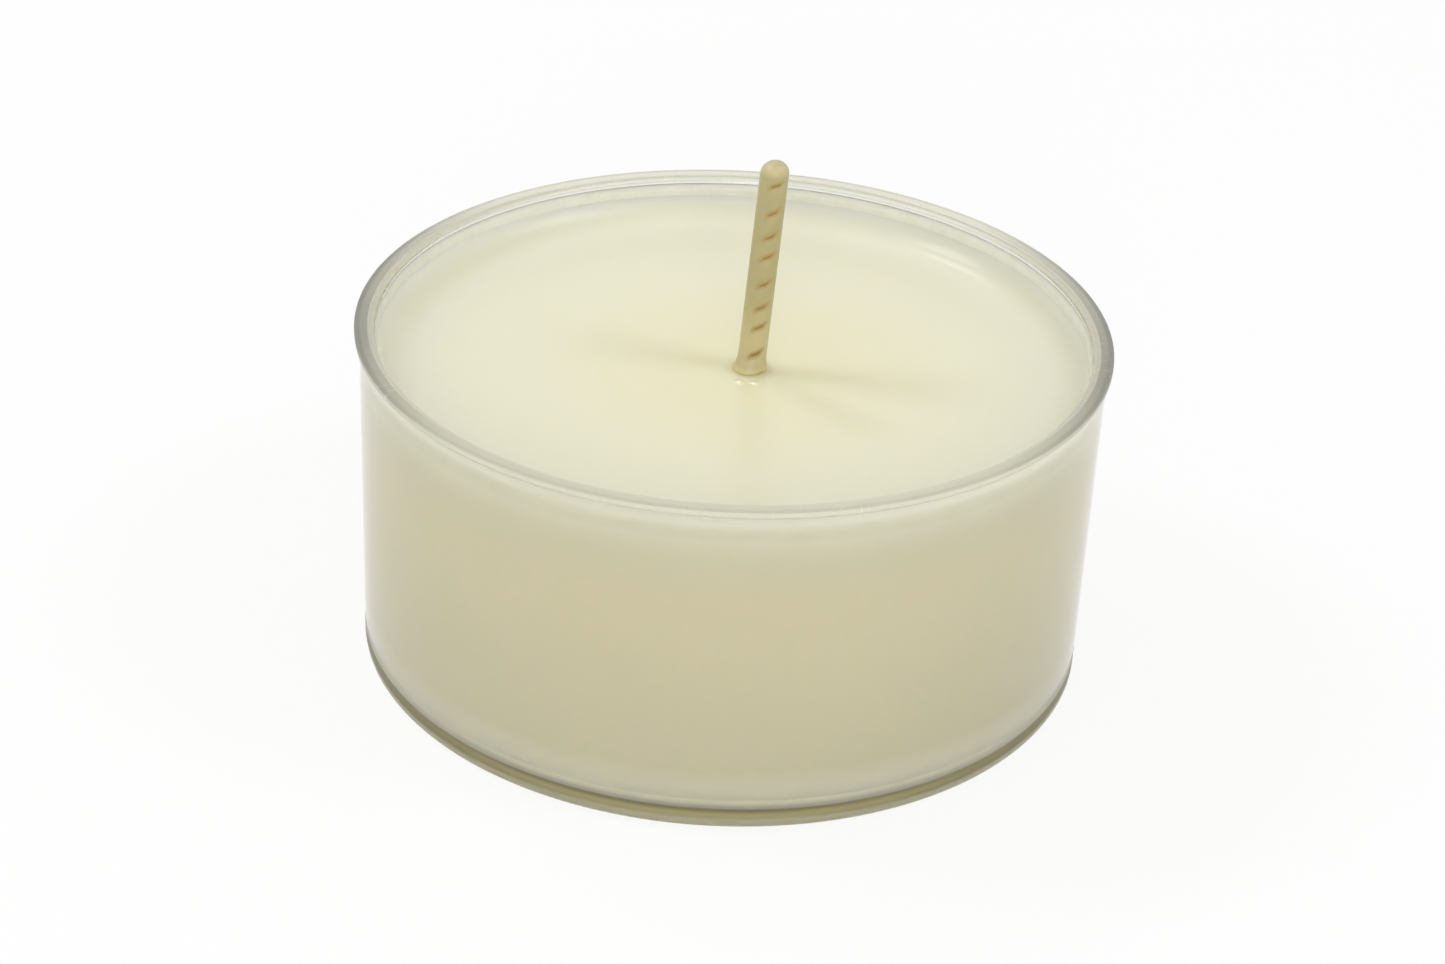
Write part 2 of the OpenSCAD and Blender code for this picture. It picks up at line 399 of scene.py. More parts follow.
grey = add_node(tree, "ShaderNodeMix", {
    "Factor": over_lip.outputs[0], "A": linear("A6A69A"), "B": linear("88887E")}, data_type="RGBA")
tone = add_node(tree, "ShaderNodeMix", {
    "Factor": at_side.outputs[0], "A": pale.outputs["Result"], "B": grey.outputs["Result"]},
    data_type="RGBA")
tone = add_node(tree, "ShaderNodeMix", {
    "Factor": 1.0, "A": tone.outputs["Result"], "B": lit.outputs["Result"]},
    data_type="RGBA", blend_type="MULTIPLY")
tone = add_node(tree, "ShaderNodeMix", {
    "Factor": inner_edge.outputs[0], "A": linear("DCDBCE"), "B": tone.outputs["Result"]}, data_type="RGBA")
marked = add_node(tree, "ShaderNodeMix", {
    "Factor": scratch, "A": tone.outputs["Result"], "B": linear("FAFAF6")}, data_type="RGBA")
tree.links.new(wear_amount.outputs[0], shader.inputs["Roughness"])
tree.links.new(marked.outputs["Result"], shader.inputs["Base Color"])
shader.inputs["Transmission Weight"].default_value = 0.6
shader.inputs["IOR"].default_value = 1.585
cup.data.materials.append(rim_satin)

# The foot ring is satin too. Its colour is painted light and shade: an olive band, darkest at the floor's
# height, stands for the wax's shaded underside seen through the thick plastic. Above the floor it is painted
# pale, for the lit wax that stands against the wall.
foot_satin = bpy.data.materials.new("satin_polycarbonate_foot")
foot_satin.use_nodes = True
tree = foot_satin.node_tree
shader = tree.nodes["Principled BSDF"]
where = add_node(tree, "ShaderNodeTexCoord").outputs["Object"]
height = add_node(tree, "ShaderNodeSeparateXYZ", {0: where}).outputs[2]
# Painted shade: the olive band low on the foot.
up_foot = add_node(tree, "ShaderNodeMapRange", {
    "Value": height, "From Min": 0.58 * MM, "From Max": 0.8 * MM}, interpolation_type="SMOOTHSTEP")
olive_shade = add_node(tree, "ShaderNodeMix", {
    "Factor": up_foot.outputs[0], "A": linear("F8F4CE"), "B": linear("8B7C3B")}, data_type="RGBA")
above_floor = add_node(tree, "ShaderNodeMapRange", {
    "Value": height, "From Min": 1.22 * MM, "From Max": 1.36 * MM}, interpolation_type="SMOOTHSTEP")
tone = add_node(tree, "ShaderNodeMix", {
    "Factor": above_floor.outputs[0], "A": olive_shade.outputs["Result"], "B": linear("FBF7E2")}, data_type="RGBA")
tree.links.new(tone.outputs["Result"], shader.inputs["Base Color"])
shader.inputs["Roughness"].default_value = 0.4
shader.inputs["Transmission Weight"].default_value = 0.85
shader.inputs["IOR"].default_value = 1.585
cup.data.materials.append(foot_satin)
RIM_SLOT, FOOT_SLOT = 1, 2
for face in cup.data.polygons:
    out = math.hypot(face.center.x, face.center.y)
    if face.center.z > (lip_z - 0.01) * MM and out > wall_radius(cup_height, WALL - 0.04) * MM:
        face.material_index = RIM_SLOT
    elif face.center.z < SATIN_FOOT_TOP * MM and out > foot_inside * MM:
        face.material_index = FOOT_SLOT
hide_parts("cup")
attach(cup, "root")

# Wax

# Ivory wax, poured warm into the cup round the wick and its sustainer, where it set in one piece.
# It climbs the wall in a meniscus that thins to a skirt, and rises a little round the wick. Sizes are in mm.
FILL_DROP = 2.4
MENISCUS_HEIGHT = 1.35
MENISCUS_WIDTH = 0.8
CLIMB_REACH = 4
# The wax sticks to the cup with no air between them, so its face lies this far inside the plastic.
WAX_GRIP = 0.012
SKIRT_TOP = 17.75
SKIRT_THICKNESS = 0.1
SKIRT_RINGS = 8
SKIRT_TAPER_RINGS = 4
COLLAR_HEIGHT = 0.08
COLLAR_WIDTH = 0.12
# The pool set with slow waves of this height.
SWELL = 0.012
# Two small folds of wax stand in front of the wick.
FOLDS = ((0.39, -1.65), (1.17, -1.67))
FOLD_WIDTH = 0.3
FOLD_STRETCH = 1.3
FOLD_HEIGHT = 0.095
FOLD_SQUARENESS = 4
FOLD_WAY = math.radians(-40)
# The pool's rings run from the wall to the wick, and are finest over the last tenth, where the folds are.
POOL_RINGS = 60
FINE_RINGS = 40
FINE_SHARE = 0.1
TAB_RADIUS = 6.25
TAB_THICKNESS = 0.25
DRAW_RADIUS = 0.5
NECK_HEIGHT = 3.0
WICK_RADIUS = 0.725
WICK_FLARE = 0.14
SOAKED_RADIUS = 0.2
CORE_RINGS = 24
# The gap round the wick in the neck's bore, and between the wax and the sustainer.
CLEARANCE = 0.02
WAX_SIDES = 288
LEAN = math.tan(math.radians(3.55))

wax_z = cup_height - FILL_DROP
contact_z = wax_z + MENISCUS_HEIGHT
neck_radius = WICK_RADIUS + CLEARANCE + TAB_THICKNESS
pool_radius = wall_radius(contact_z, WALL + SKIRT_THICKNESS)


def wick_axis(z):
    """How far the leaning wick's axis is from the cup's, at a height in mm."""
    return LEAN * (z - floor_z)


wick_x = wick_axis(wax_z)


def climb(height, width, distance):
    """How far a liquid climbs at a distance from what it wets, falling to nothing at CLIMB_REACH widths."""
    end = math.exp(-CLIMB_REACH)
    return height * max(0.0, math.exp(-distance / width) - end) / (1 - end)


def wax_surface(x, y):
    """Height of the set wax's top, in mm: the pool, the meniscus at the wall and the collar at the wick."""
    to_wall = pool_radius - math.hypot(x, y)
    to_wick = max(0.0, math.hypot(x - wick_x, y) - WICK_RADIUS - WICK_FLARE)
    folds = 0.0
    for fold_x, fold_y in FOLDS:
        along = (x - fold_x) * math.cos(FOLD_WAY) + (y - fold_y) * math.sin(FOLD_WAY)
        across = (y - fold_y) * math.cos(FOLD_WAY) - (x - fold_x) * math.sin(FOLD_WAY)
        off_centre = (abs(along / FOLD_STRETCH) ** FOLD_SQUARENESS
                      + abs(across) ** FOLD_SQUARENESS) ** (1 / FOLD_SQUARENESS)
        t = min(1.0, off_centre / FOLD_WIDTH)
        folds += FOLD_HEIGHT * (1 - t * t * (3 - 2 * t))
    swell = SWELL * math.sin(0.31 * x + 0.9) * math.cos(0.27 * y - 0.4)
    return (wax_z + swell + folds + climb(MENISCUS_HEIGHT, MENISCUS_WIDTH, max(0.0, to_wall))
            + climb(COLLAR_HEIGHT, COLLAR_WIDTH, to_wick))


def top_ring(share):
    """One ring of the wax's top, from the wall at 0 to the wick at 1."""
    wick_r = WICK_RADIUS + 0.5 * WICK_FLARE
    ring = turned_ring(pool_radius + (wick_r - pool_radius) * share, 0, WAX_SIDES, wick_x * share)
    return [(x, y, wax_surface(x, y)) for x, y, _ in ring]


# The skirt thins out at its top.
wax_rings = []
for k in range(1, SKIRT_RINGS):
    z = SKIRT_TOP + (contact_z - SKIRT_TOP) * k / SKIRT_RINGS
    thickness = SKIRT_THICKNESS * min(1, k / SKIRT_TAPER_RINGS)
    wax_rings.append(turned_ring(wall_radius(z, WALL + thickness), z, WAX_SIDES))
fine_from = 1 - FINE_SHARE
pool_shares = [fine_from * (1 - math.cos(math.pi / 2 * k / POOL_RINGS)) for k in range(POOL_RINGS)]
pool_shares += [fine_from + FINE_SHARE * k / FINE_RINGS for k in range(FINE_RINGS + 1)]
wax_rings += [top_ring(share) for share in pool_shares]
# Inside the wick the wax that soaks it narrows to a core, which runs down to the sustainer's neck.
soaked = [(0.6, wax_z + 0.5), (0.55, wax_z + 1.6), (0.4, wax_z + 1.9),
          (SOAKED_RADIUS, wax_z + 1.9), (SOAKED_RADIUS, wax_z + 1.0)]
neck_top = floor_z + NECK_HEIGHT + CLEARANCE
core_top = wax_z - 0.1
soaked += [(SOAKED_RADIUS, core_top - (core_top - neck_top) * k / (CORE_RINGS - 1))
           for k in range(CORE_RINGS)]
wax_rings += [turned_ring(r, z, WAX_SIDES, wick_axis(z)) for r, z in soaked]
# The rest of the wax's section is the hollow that the sustainer fills, the floor and the wall.
hollow_top = floor_z + TAB_THICKNESS + CLEARANCE
wax_foot = floor_z - WAX_GRIP
hollow_and_wall = section([
    (SOAKED_RADIUS, neck_top, 0),
    (neck_radius + CLEARANCE, neck_top, 0),
    (neck_radius + CLEARANCE, hollow_top, DRAW_RADIUS),
    (TAB_RADIUS + CLEARANCE, hollow_top, 0),
    (TAB_RADIUS + CLEARANCE, wax_foot, 0),
    (wall_radius(floor_z, WALL - WAX_GRIP), wax_foot, CORNER_RADIUS),
    (wall_radius(SKIRT_TOP, WALL - WAX_GRIP), SKIRT_TOP, 0),
])[1:]
for p in hollow_and_wall:
    leans = p.x < neck_radius + 0.2
    wax_rings.append(turned_ring(p.x, p.y, WAX_SIDES, wick_axis(p.y) if leans else 0))
wax = skin("ivory_wax", wax_rings, looped=True)

# Poured paraffin wax lets light soak in and come out warmer, and its skin has a soft shine.
ivory_wax = bpy.data.materials.new("poured_paraffin_wax")
ivory_wax.use_nodes = True
tree = ivory_wax.node_tree
shader = tree.nodes["Principled BSDF"]
where = add_node(tree, "ShaderNodeTexCoord").outputs["Object"]
clouds = add_node(tree, "ShaderNodeTexNoise", {
    "Vector": where, "Scale": 1 / (7 * MM), "Detail": 3.0, "Roughness": 0.5})
skin_tone = add_node(tree, "ShaderNodeMix", {
    "Factor": clouds.outputs["Fac"], "A": linear("E6E3C9"), "B": linear("E7E5CC")}, data_type="RGBA")
# The top is yellower round the wick. Towards the wall it is painted greyer, as painted shade.
from_wick = add_node(tree, "ShaderNodeVectorMath", {
    0: where, 1: (wick_x * MM, 0, wax_z * MM)}, operation="DISTANCE")
warmed = add_node(tree, "ShaderNodeMapRange", {
    "Value": from_wick.outputs["Value"], "From Min": 2 * MM, "From Max": 13 * MM,
    "To Min": 1.0, "To Max": 0.0}, interpolation_type="SMOOTHSTEP")
top_tone = add_node(tree, "ShaderNodeMix", {
    "Factor": warmed.outputs[0], "A": skin_tone.outputs["Result"], "B": linear("E7E2BF")}, data_type="RGBA")
height = add_node(tree, "ShaderNodeSeparateXYZ", {0: where}).outputs[2]
flat = add_node(tree, "ShaderNodeVectorMath", {0: where, 1: (1, 1, 0)}, operation="MULTIPLY")
from_axis = add_node(tree, "ShaderNodeVectorMath", {0: flat.outputs[0]}, operation="LENGTH")
# Painted shade: the top greys towards the wall.
wall_shade = add_node(tree, "ShaderNodeMapRange", {
    "Value": from_axis.outputs["Value"], "From Min": 13.5 * MM, "From Max": 17.4 * MM},
    interpolation_type="SMOOTHSTEP")
top_tone = add_node(tree, "ShaderNodeMix", {
    "Factor": wall_shade.outputs[0], "A": top_tone.outputs["Result"], "B": linear("E4E2CE")}, data_type="RGBA")
# Where it climbs the wall it is painted greyer, as painted shade on the meniscus, most towards the back
# right.
to_back_right = add_node(tree, "ShaderNodeVectorMath", {
    0: where, 1: (0.93, 0.37, 0.0)}, operation="DOT_PRODUCT")
back_right_shade = add_node(tree, "ShaderNodeMapRange", {
    "Value": to_back_right.outputs["Value"], "From Min": 4 * MM, "From Max": 16 * MM})
climbing = add_node(tree, "ShaderNodeMapRange", {
    "Value": height, "From Min": (wax_z + 0.15) * MM, "From Max": (wax_z + 1.0) * MM},
    interpolation_type="SMOOTHSTEP")
meniscus_shade_tone = add_node(tree, "ShaderNodeMix", {
    "Factor": back_right_shade.outputs[0], "A": linear("D9D8C5"), "B": linear("CDCCB9")}, data_type="RGBA")
top_tone = add_node(tree, "ShaderNodeMix", {
    "Factor": climbing.outputs[0], "A": top_tone.outputs["Result"], "B": meniscus_shade_tone.outputs["Result"]},
    data_type="RGBA")
# Painted shade: close round the wick's foot the top is a darker, yellower tone, for the crease there.
by_foot = add_node(tree, "ShaderNodeMapRange", {
    "Value": from_wick.outputs["Value"], "From Min": 0.95 * MM, "From Max": 1.3 * MM,
    "To Min": 1.0, "To Max": 0.0}, interpolation_type="SMOOTHSTEP")
top_tone = add_node(tree, "ShaderNodeMix", {
    "Factor": by_foot.outputs[0], "A": top_tone.outputs["Result"], "B": linear("E8DEA8")}, data_type="RGBA")
# The side's colour is painted light and shade. It is paler near the rim and the base, and yellower in
# between, where the light that comes out has gone further through the wax. Close under the rim it is painted
# darker grey.
deep = add_node(tree, "ShaderNodeMapRange", {
    "Value": height, "From Min": 12.8 * MM, "From Max": 16.3 * MM, "To Min": 1.0, "To Max": 0.0})
side_tone = add_node(tree, "ShaderNodeMix", {
    "Factor": deep.outputs[0], "A": linear("E7E6D7"), "B": linear("F0EACE")}, data_type="RGBA")
low = add_node(tree, "ShaderNodeMapRange", {
    "Value": height, "From Min": 5 * MM, "From Max": 11 * MM, "To Min": 1.0, "To Max": 0.0})
side_tone = add_node(tree, "ShaderNodeMix", {
    "Factor": low.outputs[0], "A": side_tone.outputs["Result"], "B": linear("EAE5CA")}, data_type="RGBA")
# Painted light: the side is paler near the base.
base = add_node(tree, "ShaderNodeMapRange", {
    "Value": height, "From Min": 1.5 * MM, "From Max": 3.2 * MM, "To Min": 1.0, "To Max": 0.0})
side_tone = add_node(tree, "ShaderNodeMix", {
    "Factor": base.outputs[0], "A": side_tone.outputs["Result"], "B": linear("FBF8E9")}, data_type="RGBA")
under_top = add_node(tree, "ShaderNodeMath", {0: height, 1: (wax_z - 0.3) * MM}, operation="LESS_THAN")
at_wall = add_node(tree, "ShaderNodeMath", {
    0: from_axis.outputs["Value"], 1: (pool_radius + 0.03) * MM}, operation="GREATER_THAN")
on_side = add_node(tree, "ShaderNodeMath", {
    0: under_top.outputs[0], 1: at_wall.outputs[0]}, operation="MAXIMUM")
# Painted shade: the side turns a darker grey towards the rim.
near_rim = add_node(tree, "ShaderNodeMapRange", {
    "Value": height, "From Min": 16.0 * MM, "From Max": 17.3 * MM})
side_tone = add_node(tree, "ShaderNodeMix", {
    "Factor": near_rim.outputs[0], "A": side_tone.outputs["Result"], "B": linear("C1BFA6")},
    data_type="RGBA")
colour = add_node(tree, "ShaderNodeMix", {
    "Factor": on_side.outputs[0], "A": top_tone.outputs["Result"], "B": side_tone.outputs["Result"]},
    data_type="RGBA")
# Round the wick, where it set last, its skin is glossier.
shine = add_node(tree, "ShaderNodeMapRange", {
    "Value": from_wick.outputs["Value"], "From Min": 2.0 * MM, "From Max": 2.3 * MM,
    "To Min": 0.1, "To Max": 0.26}, interpolation_type="SMOOTHSTEP")
grain = add_node(tree, "ShaderNodeTexNoise", {
    "Vector": where, "Scale": 1 / (0.35 * MM), "Detail": 3.0})
bump = add_node(tree, "ShaderNodeBump", {
    "Height": grain.outputs["Fac"], "Distance": 0.01 * MM, "Strength": 0.4})
tree.links.new(colour.outputs["Result"], shader.inputs["Base Color"])
tree.links.new(bump.outputs[0], shader.inputs["Normal"])
tree.links.new(shine.outputs[0], shader.inputs["Roughness"])
shader.inputs["IOR"].default_value = 1.44
shader.inputs["Specular IOR Level"].default_value = 0.3
shader.inputs["Subsurface Weight"].default_value = 1.0
shader.inputs["Subsurface Radius"].default_value = (2.1, 2.0, 1.7)
shader.inputs["Subsurface Scale"].default_value = MM
wax.data.materials.append(ivory_wax)

# The skirt that the wax leaves up the wall is too thin to soak up much light, so it is milkier and matt.
wax_skirt = bpy.data.materials.new("thin_wax_skirt")
wax_skirt.use_nodes = True
tree = wax_skirt.node_tree
shader = tree.nodes["Principled BSDF"]
where = add_node(tree, "ShaderNodeTexCoord").outputs["Object"]
mottle = add_node(tree, "ShaderNodeTexNoise", {
    "Vector": where, "Scale": 1 / (0.9 * MM), "Detail": 3.0, "Roughness": 0.6})
mottled = add_node(tree, "ShaderNodeMapRange", {
    "Value": mottle.outputs["Fac"], "From Min": 0.35, "From Max": 0.65})
pale = add_node(tree, "ShaderNodeMix", {
    "Factor": mottled.outputs[0], "A": linear("D1D1C2"), "B": linear("D7D7C9")}, data_type="RGBA")
height = add_node(tree, "ShaderNodeSeparateXYZ", {0: where}).outputs[2]
at_edge = add_node(tree, "ShaderNodeMapRange", {
    "Value": height, "From Min": (SKIRT_TOP - 0.16) * MM, "From Max": (SKIRT_TOP - 0.04) * MM})
pale = add_node(tree, "ShaderNodeMix", {
    "Factor": at_edge.outputs[0], "A": pale.outputs["Result"], "B": linear("CACAB9")}, data_type="RGBA")
tree.links.new(pale.outputs["Result"], shader.inputs["Base Color"])
shader.inputs["Roughness"].default_value = 0.4
shader.inputs["IOR"].default_value = 1.44
shader.inputs["Subsurface Weight"].default_value = 1.0
shader.inputs["Subsurface Radius"].default_value = (0.5, 0.5, 0.5)
shader.inputs["Subsurface Scale"].default_value = MM
wax.data.materials.append(wax_skirt)
SKIRT_SLOT = 1
for face in wax.data.polygons:
    out = math.hypot(face.center.x, face.center.y)
    if face.center.z > (contact_z + 0.02) * MM and out > pool_radius / 2 * MM:
        face.material_index = SKIRT_SLOT
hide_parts("wax_fill")
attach(wax, "root")

# Wick

# Three strands of cotton laid together right-handed and soaked in wax, which fills most of the grooves.
# It was dipped and cut, so its tip is a rounded cap of wax, and it flares where it meets the pool.
# Lengths are in mm, and the grooves' places are in degrees from +X at the wick's foot.
LAY = 3.93
GROOVE_WAYS = {"First Groove": 31.0, "Second Groove": 132.8, "Third Groove": 272.7}
GROOVE_DEPTH = 0.07
GROOVE_HALF_WIDTH = math.radians(20)
CLOSED_SHARE = 0.1
TIP_HEIGHT = 0.65
WICK_SIDES = 96
WICK_RINGS = 480
# The grooves are open on two sides of the wick, in front and behind. These say which way the front opening
# faces, how many there are, how sharply and how widely they open, how lopsided they are, and how much
# flatter the grooves run there.
OPEN_WAY = math.radians(-84)
OPEN_SIDES = 2.0
OPEN_GAIN = 1.19
OPEN_SHIFT = -0.04
LOPSIDED = 0.28
FLATTENING = -0.27
FLARE_HEIGHT = 0.5
LOBE = 0.35
LOBE_WAY = math.radians(-120)

tip_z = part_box("wick")[1].z / MM
wick_height = tip_z - floor_z
wick_rule = bpy.data.node_groups.new("laid_wick", "GeometryNodeTree")
wick_rule.interface.new_socket("Geometry", in_out="OUTPUT", socket_type="NodeSocketGeometry")
wick_rule.interface.new_socket("Geometry", in_out="INPUT", socket_type="NodeSocketGeometry")
wick_sizes = {
    "Height": wick_height * MM, "Radius": WICK_RADIUS * MM, "Foot Height": floor_z * MM,
    "Lean": LEAN, "Lay": LAY * MM, "Groove Depth": GROOVE_DEPTH * MM,
    "Groove Half Width": GROOVE_HALF_WIDTH, "Tip Height": TIP_HEIGHT * MM,
    "Flare": WICK_FLARE * MM, "Pool Height": (wax_z - floor_z) * MM,
    "Open Way": OPEN_WAY, "Flattening": FLATTENING,
    **{name: math.radians(way) for name, way in GROOVE_WAYS.items()},
}
sockets = {name: wick_rule.interface.new_socket(name, in_out="INPUT", socket_type="NodeSocketFloat")
           for name in wick_sizes}
given = add_node(wick_rule, "NodeGroupInput").outputs

grid = add_node(wick_rule, "GeometryNodeMeshGrid", {
    "Size X": 1.0, "Size Y": 1.0, "Vertices X": WICK_SIDES + 1, "Vertices Y": WICK_RINGS})
place = add_node(wick_rule, "GeometryNodeInputPosition")
place = add_node(wick_rule, "ShaderNodeSeparateXYZ", {0: place.outputs[0]}).outputs
values = {"column": place[0], "row": place[1], **{name: given[name] for name in wick_sizes}}
# The rule, one Math node a row: the result's name, the operation and what it works on.
steps = [
    # A row of the grid runs out over the foot's face, up the body and in over the tip.
    ("around", "MULTIPLY", "column", 2 * math.pi),
    ("share", "ADD", "row", 0.5),
    ("path", "ADD", "Height", "Radius"),
    ("run", "MULTIPLY", "share", "path"),
    ("run", "SUBTRACT", "run", "Radius"),
    ("foot", "DIVIDE", "run", "Radius"),
    ("foot", "ADD", "foot", 1.0),
    ("foot", "MINIMUM", "foot", 1.0),
    ("body", "SUBTRACT", "Height", "Tip Height"),
    ("tip", "SUBTRACT", "run", "body"),
    ("tip", "DIVIDE", "tip", "Tip Height"),
    ("tip", "MAXIMUM", "tip", 0.0),
    ("tip", "MULTIPLY", "tip", math.pi / 2),
    ("dome", "SINE", "tip"),
    ("draw", "COSINE", "tip"),
    ("up", "MAXIMUM", "run", 0.0),
    ("up", "MINIMUM", "up", "body"),
    ("up", "MULTIPLY_ADD", "dome", "Tip Height", "up"),
    # The grooves are open at the front and the back of the wick, and run flatter there.
    ("window", "SUBTRACT", "around", "Open Way"),
    ("window", "MULTIPLY", "window", OPEN_SIDES),
    ("ease", "SINE", "window"),
    ("window", "COSINE", "window"),
    ("window", "MULTIPLY_ADD", "window", OPEN_GAIN, OPEN_SHIFT),
    ("window", "MULTIPLY_ADD", "ease", LOPSIDED, "window"),
    ("window", "MAXIMUM", "window", 0.0),
    ("window", "MINIMUM", "window", 1.0),
    ("turn", "DIVIDE", "up", "Lay"),
    ("turn", "MULTIPLY", "turn", 2 * math.pi),
    ("lead", "SUBTRACT", "around", "turn"),
    ("lead", "MULTIPLY_ADD", "ease", "Flattening", "lead"),
    ("groove", "MULTIPLY", "row", 0.0),
]
for name in GROOVE_WAYS:
    steps += [
        ("near", "SUBTRACT", "lead", name),
        ("near", "WRAP", "near", math.pi, -math.pi),
        ("near", "DIVIDE", "near", "Groove Half Width"),
        ("near", "MULTIPLY", "near", "near"),
        ("near", "MULTIPLY", "near", -1.0),
        ("near", "EXPONENT", "near"),
        ("groove", "ADD", "groove", "near"),
    ]
steps += [
    # They close within a millimetre of the tip, and between the openings the wax nearly fills them.
    ("below_tip", "SUBTRACT", "Height", "up"),
    ("below_tip", "MULTIPLY_ADD", "below_tip", 2 / MM, -1.0),
    ("below_tip", "MAXIMUM", "below_tip", 0.0),
    ("below_tip", "MINIMUM", "below_tip", 1.0),
    ("open", "MULTIPLY", "groove", "window"),
    ("open", "MULTIPLY", "open", "below_tip"),
    ("depth", "MULTIPLY", "groove", CLOSED_SHARE),
    ("depth", "MULTIPLY_ADD", "open", 1 - CLOSED_SHARE, "depth"),
    ("depth", "MULTIPLY", "depth", "Groove Depth"),
    # The wick flares where it meets the pool, most at its front left.
    ("lobe", "SUBTRACT", "around", LOBE_WAY),
    ("lobe", "COSINE", "lobe"),
    ("lobe", "MULTIPLY_ADD", "lobe", LOBE, 1.0),
    ("flare", "SUBTRACT", "up", "Pool Height"),
    ("flare", "DIVIDE", "flare", FLARE_HEIGHT * MM),
    ("flare", "MULTIPLY", "flare", "flare"),
    ("flare", "MULTIPLY", "flare", -1.0),
    ("flare", "EXPONENT", "flare"),
    ("flare", "MULTIPLY", "flare", "lobe"),
    ("radius", "MULTIPLY_ADD", "flare", "Flare", "Radius"),
    ("radius", "SUBTRACT", "radius", "depth"),
    ("radius", "MULTIPLY", "radius", "foot"),
    ("radius", "MULTIPLY", "radius", "draw"),
    ("x", "COSINE", "around"),
    ("x", "MULTIPLY", "x", "radius"),
    ("x", "MULTIPLY_ADD", "up", "Lean", "x"),
    ("y", "SINE", "around"),
    ("y", "MULTIPLY", "y", "radius"),
    ("z", "ADD", "up", "Foot Height"),
]
for name, operation, *operands in steps:
    works_on = {i: values[v] if isinstance(v, str) else v for i, v in enumerate(operands)}
    values[name] = add_node(wick_rule, "ShaderNodeMath", works_on, operation=operation).outputs[0]
spot = add_node(wick_rule, "ShaderNodeCombineXYZ", {0: values["x"], 1: values["y"], 2: values["z"]})
stored = add_node(wick_rule, "GeometryNodeStoreNamedAttribute", {
    "Geometry": grid.outputs["Mesh"], "Name": "groove", "Value": values["open"]},
    data_type="FLOAT", domain="POINT")
placed = add_node(wick_rule, "GeometryNodeSetPosition", {
    "Geometry": stored.outputs[0], "Position": spot.outputs[0]})
closed = add_node(wick_rule, "GeometryNodeMergeByDistance", {
    "Geometry": placed.outputs[0], "Distance": 0.001 * MM})
smooth = add_node(wick_rule, "GeometryNodeSetShadeSmooth", {
    "Geometry": closed.outputs[0], "Shade Smooth": True})
real = add_node(wick_rule, "GeometryNodeRealizeInstances", {"Geometry": smooth.outputs[0]})

# Cotton soaked in wax: the wax gives it a soft shine and a tan colour, and the open grooves show brown yarn,
# darkened with painted shade in the grooves.
waxed_cotton = bpy.data.materials.new("waxed_cotton_yarn")
waxed_cotton.use_nodes = True
tree = waxed_cotton.node_tree
shader = tree.nodes["Principled BSDF"]
where = add_node(tree, "ShaderNodeTexCoord").outputs["Object"]
in_groove = add_node(tree, "ShaderNodeAttribute", attribute_name="groove").outputs["Fac"]
patches = add_node(tree, "ShaderNodeTexNoise", {
    "Vector": where, "Scale": 1 / (0.8 * MM), "Detail": 3.0})
coat = add_node(tree, "ShaderNodeMix", {
    "Factor": patches.outputs["Fac"], "A": linear("A1976A"), "B": linear("AFA67E")}, data_type="RGBA")
height = add_node(tree, "ShaderNodeSeparateXYZ", {0: where}).outputs[2]
near_pool = add_node(tree, "ShaderNodeMapRange", {
    "Value": height, "From Min": (wax_z + 1.8) * MM, "From Max": (wax_z + 4.3) * MM,
    "To Min": 1.0, "To Max": 0.0})
near_tip = add_node(tree, "ShaderNodeMapRange", {
    "Value": height, "From Min": (tip_z - 0.7) * MM, "From Max": (tip_z - 0.3) * MM})
wax_rich = add_node(tree, "ShaderNodeMath", {
    0: near_pool.outputs[0], 1: near_tip.outputs[0]}, operation="MAXIMUM")
coat = add_node(tree, "ShaderNodeMix", {
    "Factor": wax_rich.outputs[0], "A": coat.outputs["Result"], "B": linear("BCB188")}, data_type="RGBA")
in_collar = add_node(tree, "ShaderNodeMapRange", {
    "Value": height, "From Min": (wax_z + 0.05) * MM, "From Max": (wax_z + 0.45) * MM,
    "To Min": 1.0, "To Max": 0.0}, interpolation_type="SMOOTHSTEP")
coat = add_node(tree, "ShaderNodeMix", {
    "Factor": in_collar.outputs[0], "A": coat.outputs["Result"], "B": linear("CFC594")}, data_type="RGBA")
groove_yarn_and_shade = add_node(tree, "ShaderNodeMapRange", {
    "Value": in_groove, "From Min": 0.05, "From Max": 0.8}, interpolation_type="SMOOTHSTEP")
edge = add_node(tree, "ShaderNodeMix", {
    "Factor": groove_yarn_and_shade.outputs[0], "A": coat.outputs["Result"], "B": linear("A58F5A")}, data_type="RGBA")
# Painted shade: the grooves' cores are darkest.
core = add_node(tree, "ShaderNodeMapRange", {
    "Value": in_groove, "From Min": 0.82, "From Max": 1.0}, interpolation_type="SMOOTHSTEP")
yarn_and_groove_shade = add_node(tree, "ShaderNodeMix", {
    "Factor": core.outputs[0], "A": edge.outputs["Result"], "B": linear("8C7440")}, data_type="RGBA")
tree.links.new(yarn_and_groove_shade.outputs["Result"], shader.inputs["Base Color"])
shader.inputs["Roughness"].default_value = 0.38
shader.inputs["IOR"].default_value = 1.44
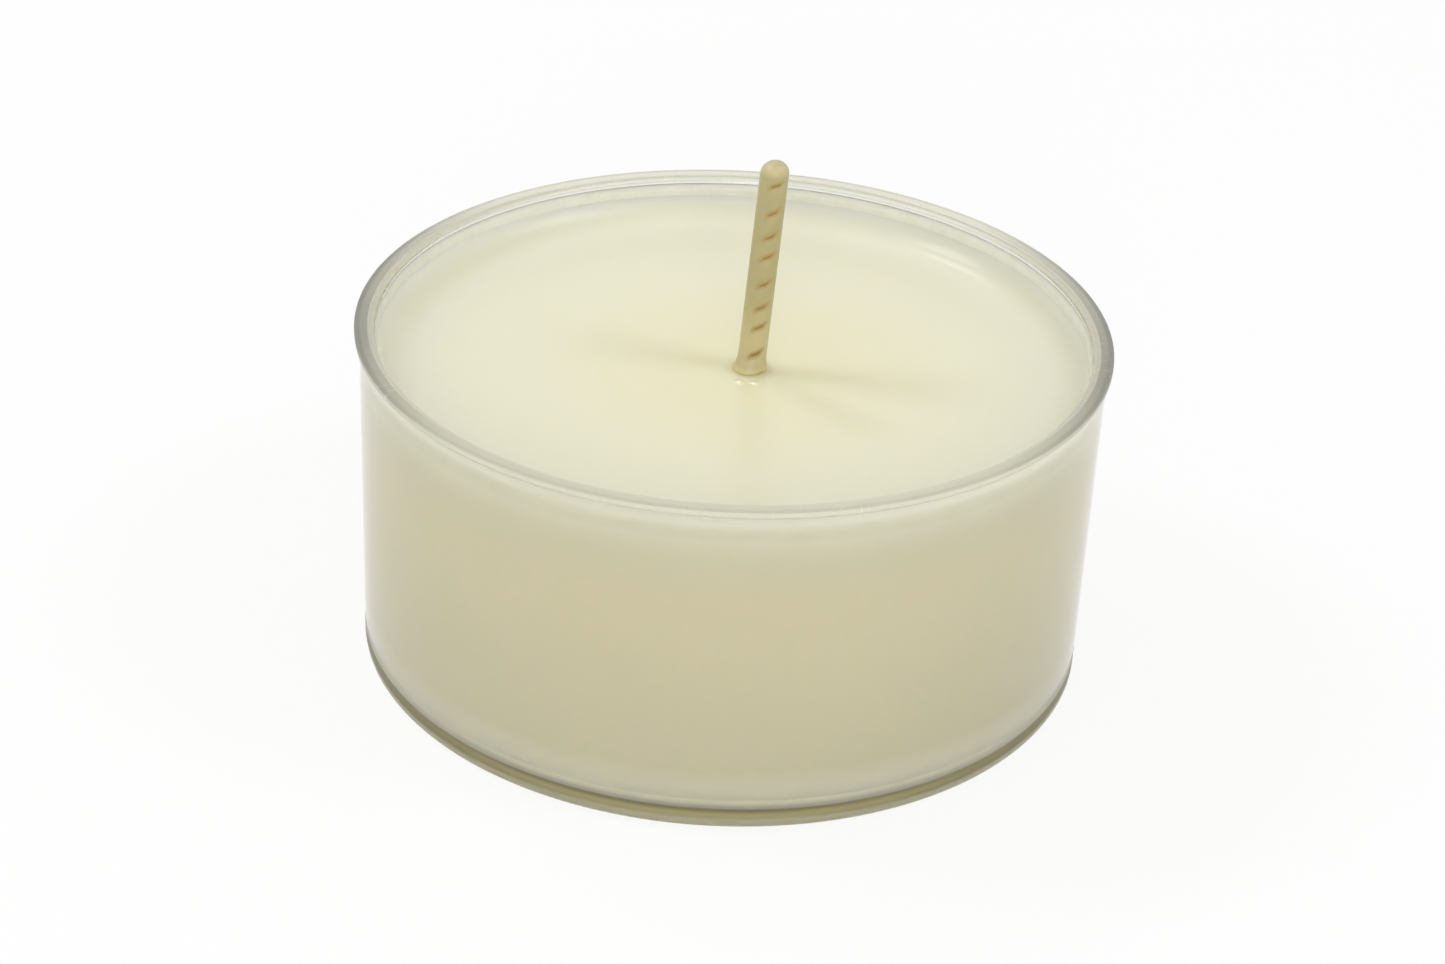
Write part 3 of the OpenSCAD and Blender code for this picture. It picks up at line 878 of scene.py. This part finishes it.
shader.inputs["Subsurface Weight"].default_value = 0.5
shader.inputs["Subsurface Radius"].default_value = (0.3, 0.28, 0.24)
shader.inputs["Subsurface Scale"].default_value = MM
finished = add_node(wick_rule, "GeometryNodeSetMaterial", {
    "Geometry": real.outputs[0], "Material": waxed_cotton})
add_node(wick_rule, "NodeGroupOutput", {"Geometry": finished.outputs[0]})

seed = bpy.data.objects.new("wick_seed", bpy.data.meshes.new("wick_seed"))
bpy.context.scene.collection.objects.link(seed)
rule = seed.modifiers.new("laid_wick", "NODES")
rule.node_group = wick_rule
for name, value in wick_sizes.items():
    rule[sockets[name].identifier] = value
evaluated = seed.evaluated_get(bpy.context.evaluated_depsgraph_get())
wick_mesh = bpy.data.meshes.new_from_object(evaluated)
bpy.data.objects.remove(seed)
wick = bpy.data.objects.new("waxed_wick", wick_mesh)
bpy.context.scene.collection.objects.link(wick)
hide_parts("wick")
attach(wick, "root")

# Sustainer

# A tab stamped from tinned steel sheet. Its drawn neck is crimped round the wick's foot.
# The wax hides all of it but the underside, which shows through the clear floor.

# Tinned sheet is bright, and its rolling leaves streaks that dull the shine a little. They are drawn coarser
# than real ones, so that they show.
tinned_steel = bpy.data.materials.new("tinned_steel_sheet")
tinned_steel.use_nodes = True
tree = tinned_steel.node_tree
shader = tree.nodes["Principled BSDF"]
where = add_node(tree, "ShaderNodeTexCoord").outputs["Object"]
stretched = add_node(tree, "ShaderNodeMapping", {"Vector": where, "Scale": (0.08, 1.0, 1.0)})
rolled = add_node(tree, "ShaderNodeTexNoise", {
    "Vector": stretched.outputs[0], "Scale": 1 / (0.12 * MM), "Detail": 3.0})
dull = add_node(tree, "ShaderNodeMapRange", {
    "Value": rolled.outputs["Fac"], "To Min": 0.22, "To Max": 0.42})
tree.links.new(dull.outputs[0], shader.inputs["Roughness"])
shader.inputs["Base Color"].default_value = linear("CFCFCA")
shader.inputs["Metallic"].default_value = 1.0
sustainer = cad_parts["wick_sustainer"]
sustainer.data.materials.clear()
sustainer.data.materials.append(tinned_steel)
